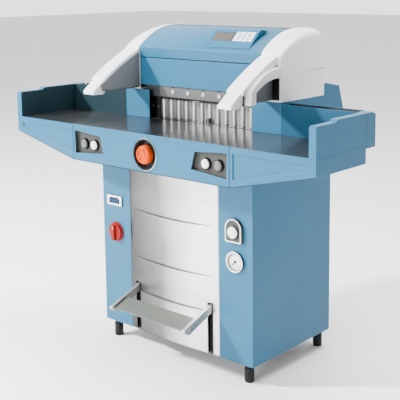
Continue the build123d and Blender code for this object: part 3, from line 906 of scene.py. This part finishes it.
class CUTTER_OT_right_controls(CutterPiece, bpy.types.Operator):
    """Make the power switch and the pressure gauge on the right column"""

    bl_idname = "cutter.right_controls"
    bl_label = "Power switch and gauge"

    def execute(self, context):
        self.make_power_switch()
        self.make_pressure_gauge()
        return {"FINISHED"}

    def make_power_switch(self):
        start, end = low("power_switch_plate"), high("power_switch_plate")
        x, half, face = (start.x + end.x) / 2, (end.x - start.x) / 2, start.y

        def arch(inset):
            side, foot, top = half - inset, start.z + inset, end.z - half
            curve = arc((x + side, top), (x, top + side), (x - side, top), 24)
            return curve + [(x - side, foot + 4), (x - side + 4, foot),
                            (x + side - 4, foot), (x + side, foot + 4)]

        def arch_ring(steps):
            loops = [[(px, y, pz) for px, pz in arch(inset)] for inset, y in steps]
            return Form().skin(loops, start_cap=False, end_cap=False)

        rim = arch_ring(((1, face + 1.2), (0.8, face + 0.2), (1.6, face),
                         (4.4, face), (5.2, face + 0.6), (5.2, face + 1.6)))
        rim.piece("power_switch_rim", ROOT, "white_plastic")
        body = arch_ring(((0, -0.1), (0, face + 2), (0.8, face + 0.8), (5.6, face + 0.8), (5.6, face + 2.2)))
        body.piece("power_switch_body", ROOT, "white_plastic", "grey_plastic", replaces="power_switch_plate")
        Form().prism(arch(5), "y", face + 2, -0.1).piece("power_switch_face", ROOT, "grey_plastic", edge=0.4)
        centre, front = middle("power_button"), low("power_button").y
        # A black ring round the button paints the shadow round its edge.
        collar = [(22.5, face - 0.6), (24.4, face - 0.2), (25, face + 2.3), (22.3, face + 2.3)]
        Form().lathe(collar + collar[:1], centre.x, centre.z).piece(
            "power_button_shadow_ring", ROOT, "bolt_steel", "black_plastic")
        cap = [(0.5, front), (12, front + 0.2), (18.5, front + 1.1), (21, front + 2.8), (21.6, front + 6.4),
               (9, front + 6.5), (9, 18)]
        Form().lathe(cap, centre.x, centre.z).piece(
            "power_button_cap", "power_button", "white_plastic", replaces="power_button")

    def make_pressure_gauge(self):
        centre, front = middle("pressure_gauge"), low("pressure_gauge").y
        base = [(30.5, front + 8), (34, front + 2.4), (37.4, front + 2.4),
                (37.8, front + 3.4), (37.8, -0.1), (30.5, -0.1)]
        Form().lathe(base + base[:1], centre.x, centre.z).piece(
            "pressure_gauge_case", ROOT, "white_plastic", "grey_plastic", replaces="pressure_gauge")
        ring = [(31.2, front + 3), (31.8, front + 0.5), (33, front), (36.4, front + 0.3), (37.9, front + 1.4),
                (37.9, front + 2.6), (31.2, front + 3)]
        Form().lathe(ring, centre.x, centre.z).piece("pressure_gauge_ring", ROOT, "white_plastic")
        step = [(27.6, front + 5.4), (30.2, front + 4.2), (31.3, front + 4.2),
                (31.3, front + 6), (27.6, front + 6)]
        Form().lathe(step + step[:1], centre.x, centre.z).piece(
            "pressure_gauge_step", ROOT, "white_plastic", "button_grey")
        dial = [(0.5, front + 7.4), (31.2, front + 7.4), (31.2, front + 8), (0.5, front + 8)]
        Form().lathe(dial, centre.x, centre.z).piece("pressure_gauge_dial", ROOT, "white_plastic")
        ticks = Form()
        first_angle, pitch, radius, half_width = 225, 10, 27, 0.35
        for number in range(28):
            inner = radius - (5.5 if number % 3 == 0 else 3)
            tick = [(inner, -half_width), (radius, -half_width), (radius, half_width), (inner, half_width)]
            tick = turned(tick, first_angle - pitch * number, centre.x, centre.z)
            ticks.prism(tick, "y", front + 7.1, front + 7.5)
        ticks.piece("pressure_gauge_ticks", ROOT, "black_plastic", "button_grey")


class CUTTER_OT_pedal(CutterPiece, bpy.types.Operator):
    """Make the pedal's ribbed tread and its two arms"""

    bl_idname = "cutter.pedal"
    bl_label = "Pedal"

    def execute(self, context):
        reach = high("pedal_tread").x
        count = self.shape.tread_ribs
        front, back = Vector((-140, 203)), Vector((-71, 228))
        along = (back - front).normalized()
        normal = Vector((-along.y, along.x))
        top = []
        rib, sunk = ((0, 0), (0.1, 1), (0.62, 1), (0.72, 0)), 1.2
        for number in range(count):
            for share, lift in rib:
                point = front + (back - front) * ((number + share) / count) + normal * (lift - sunk)
                top.append(tuple(point))
        under = [(-72, 221), (-76, 218.5), (-128, 190.5), (-138.5, 197)]
        form = Form().prism(top + under, "x", -reach + 0.1, reach - 0.1)
        form.piece(
            "pedal_tread_plate", "pedal", "aluminium", "tread", replaces="pedal_tread", edge=0.3, segments=1)

        arms = Form()
        start, end = low("pedal_arms"), high("pedal_arms")
        outline = [(434, 303), (-2, 261.5), (start.y, 206), (start.y, 196),
                   (-126, 181.5), (2, 234.5), (434, 277)]
        arms.prism(outline, "x", end.x - 16, end.x)
        arms.mirrored().piece("pedal_arm_bars", "pedal", "aluminium", replaces="pedal_arms", edge=2.2)
        screws = Form()
        rim, steps = ((0.3, 0), (3.4, 0), (4.4, 0.7), (4.4, 1.2)), 20
        circle = [2 * math.pi * step / steps for step in range(steps)]
        for depth, height in ((-112, 201), (-92, 209)):
            screws.skin([[(end.x - drop, depth + radius * math.cos(a), height + radius * math.sin(a))
                          for a in circle] for radius, drop in rim])
        screws.mirrored().piece("pedal_screws", "pedal", "bolt_steel")
        return {"FINISHED"}


class CUTTER_OT_head_details(CutterPiece, bpy.types.Operator):
    """Add the notches, bolts, screws and seams of the head and trays, and dark fence liners, a hood strip and
    apron edge lines that paint shade
    """

    bl_idname = "cutter.head_details"
    bl_label = "Head details"

    def execute(self, context):
        self.knife_notches()
        self.frame_bolts()
        self.fence_channel_shade_liners()
        self.apron_seams_and_shadow_lines()
        self.guide_key()
        self.rear_details()
        return {"FINISHED"}

    def knife_notches(self):
        front = low("knife_carrier").y
        first, last, count = low("knife_bolts").x + 8, high("knife_bolts").x - 8, 6
        notches = Form()
        for number in range(count):
            x = first + (last - first) / (count - 1) * number
            notches.box((x - 6, x + 6), (front - 0.6, front + 0.2), (1018.5, 1023))
        notches.piece("knife_carrier_notches", "knife", "black_plastic")

    def frame_bolts(self):
        face = low("side_frames").y
        head = [(0.3, face - 3), (4.2, face - 3), (5, face - 2.2), (5, face)]
        bolts = Form()
        for x, height in ((268, 996), (298, 996), (268, 930), (298, 930)):
            bolts.lathe(head, x, height, 6)
        bolts.mirrored().piece("side_frame_bolts", ROOT, "bolt_steel")

    def fence_channel_shade_liners(self):
        """Line the channel in each tray's rear fence with dark sheets that paint the shade inside it."""
        front, back = low("wing_rear_fences").y + 3, high("wing_rear_fences").y - 3
        along, floor, top, sheet = (399, 698), 884, 996, 0.6
        liner = Form()
        liner.box(along, (front, front + sheet), (floor, top))
        liner.box(along, (back - sheet, back), (floor, top))
        liner.box(along, (front, back), (floor - 0.9, floor))
        liner.mirrored().piece("fence_channel_shade_liners", ROOT, "dark_paint")

    def apron_seams_and_shadow_lines(self):
        apron, wing = low("front_apron"), high("wing_bodies")
        front, back, wing_end, line = apron.y - 0.3, apron.y + 1, 394, 2.8
        seam = Form()
        seam.box((wing_end - 1.4, wing_end + 1.6), (front, back), (apron.z + 1, 889.5))
        # The strip along the apron's and wings' lower edges is a painted shadow under the lip; the upright
        # strips at the wing joints are dark joints.
        under = [(0, apron.z), (wing_end, apron.z), (wing.x, 830),
                 (wing.x, 832.6), (wing_end, apron.z + line), (0, apron.z + line)]
        seam.prism(under, "y", front, back)
        seam.mirrored().piece("apron_seams_and_shadow_lines", ROOT, "blue_paint", "seam_paint")

    def guide_key(self):
        """Make the back gauge's key, which shows in front of its comb."""
        comb = low("back_gauge_comb")
        key = Form()
        key.box((3, 16), (comb.y - 3.4, comb.y + 0.5), (comb.z, comb.z + 17))
        key.box((-9, -5), (comb.y - 2.4, comb.y + 0.5), (comb.z, comb.z + 13))
        key.piece("gauge_guide_key", "back_gauge", "black_plastic", edge=0.5)

    def rear_details(self):
        crown = high("hood")
        # A dark strip behind the hood's crown paints the shadow in the gap between the hood and the rear
        # cover.
        ridge = Form()
        ridge.box((1 - HOOD_END, HOOD_END - 1), (crown.y + 0.5, crown.y + 9), (crown.z - 6, crown.z + 1.9))
        ridge.piece("hood_rear_shadow_strip", ROOT, "dark_paint", edge=0.5)

        panel = high("rear_panel").y
        head = [(0.3, panel - 0.01), (5.2, panel - 0.01), (5.2, panel + 1.6),
                (4.2, panel + 2.4), (0.3, panel + 2.4)]
        screws = Form()
        for x in (150, 360):
            for height in (95, 430, 780):
                screws.lathe(head, x, height, 24)
        screws.mirrored().piece("rear_panel_screws", ROOT, "bolt_steel")


class CUTTER_OT_stage(CutterPiece, bpy.types.Operator):
    """Set the floor, the studio light and the camera"""

    bl_idname = "cutter.stage"
    bl_label = "Stage"

    def execute(self, context):
        self.make_floor(context)
        self.make_light(context)
        self.make_camera(context)
        return {"FINISHED"}

    def make_floor(self, context):
        mesh = bpy.data.meshes.new("studio_floor")
        half = 30
        corners = [(-half, -half, 0), (half, -half, 0), (half, half, 0), (-half, half, 0)]
        mesh.from_pydata(corners, [], [(0, 1, 2, 3)])
        mesh.materials.append(finishes["studio"])
        floor = bpy.data.objects.new("studio_floor", mesh)
        context.scene.collection.objects.link(floor)

    def make_light(self, context):
        world = bpy.data.worlds.new("studio_light")
        context.scene.world = world
        world.use_nodes = True
        sky = Shader.of(world, "Background")
        towards = sky.node("ShaderNodeTexCoord", output="Generated")
        split = {"Vector": towards}
        across, depth = (sky.node("ShaderNodeSeparateXYZ", inputs=split, output=axis) for axis in "XY")
        side = depth * 0.35 - across * 0.3 + 0.5
        sky.set(Color=sky.ramp(side, (0.15, 0.16), (0.5, 0.4), (0.8, 1.0)), Strength=2.4)

        aim = Vector((0, 0, 0.8))
        for name, place, width, power in (
            ("key_light", (-3.1, -3.2, 3.3), 0.45, 860),
            ("front_light", (0.2, -4.6, 1.4), 2.2, 210),
            ("top_light", (0.4, 0.6, 4.4), 2.0, 260),
        ):
            lamp = bpy.data.lights.new(name, "AREA")
            lamp.size = width
            lamp.energy = power
            made = bpy.data.objects.new(name, lamp)
            made.location = place
            made.rotation_euler = (aim - made.location).to_track_quat("-Z", "Y").to_euler()
            context.scene.collection.objects.link(made)

    def make_camera(self, context):
        settings = bpy.data.cameras.new("camera")
        settings.sensor_width = 36
        settings.lens = 80.83
        settings.shift_x, settings.shift_y = -0.0263, -0.2
        settings.clip_end = 100
        camera = bpy.data.objects.new("camera", settings)
        pitch, yaw, roll = (math.radians(angle) for angle in (8.768, 41.358, -0.595))
        level = Vector((math.cos(yaw), math.sin(yaw), 0))
        ahead = Vector((-math.sin(yaw), math.cos(yaw), 0))
        forward = ahead * math.cos(pitch) - Vector((0, 0, math.sin(pitch)))
        upward = level.cross(forward)
        right = level * math.cos(roll) + upward * math.sin(roll)
        up = upward * math.cos(roll) - level * math.sin(roll)
        turn = Matrix((right, up, -forward)).transposed().to_4x4()
        camera.matrix_world = Matrix.Translation((2.26497, -2.35212 + FACE, 1.42636)) @ turn
        context.scene.collection.objects.link(camera)
        context.scene.camera = camera


BUILD_ORDER = (
    CUTTER_OT_finishes, CUTTER_OT_sheet_edges, CUTTER_OT_steel_panel, CUTTER_OT_side_covers,
    CUTTER_OT_safety_arms, CUTTER_OT_console, CUTTER_OT_cut_buttons, CUTTER_OT_handwheel,
    CUTTER_OT_left_controls, CUTTER_OT_right_controls, CUTTER_OT_pedal, CUTTER_OT_head_details,
    CUTTER_OT_stage,
)


class CUTTER_PT_panel(bpy.types.Panel):
    """The cutter's settings and build steps."""

    bl_idname = "CUTTER_PT_panel"
    bl_label = "Paper Cutter"
    bl_space_type = "VIEW_3D"
    bl_region_type = "UI"
    bl_category = "Cutter"

    def draw(self, context):
        for settings in (context.scene.cutter_finish, context.scene.cutter_shape):
            for name in settings.__annotations__:
                self.layout.prop(settings, name)
        for operator in BUILD_ORDER:
            self.layout.operator(operator.bl_idname)


CLASSES = (FINISH_PG_settings, SHAPE_PG_settings, *BUILD_ORDER, CUTTER_PT_panel)


def register():
    for part in CLASSES:
        bpy.utils.register_class(part)
    bpy.types.Scene.cutter_finish = bpy.props.PointerProperty(type=FINISH_PG_settings)
    bpy.types.Scene.cutter_shape = bpy.props.PointerProperty(type=SHAPE_PG_settings)


def unregister():
    del bpy.types.Scene.cutter_shape
    del bpy.types.Scene.cutter_finish
    for part in reversed(CLASSES):
        bpy.utils.unregister_class(part)


def main():
    register()
    for operator in BUILD_ORDER:
        group, name = operator.bl_idname.split(".")
        getattr(getattr(bpy.ops, group), name)()
    bpy.context.view_layer.update()


if __name__ == "__main__":
    main()
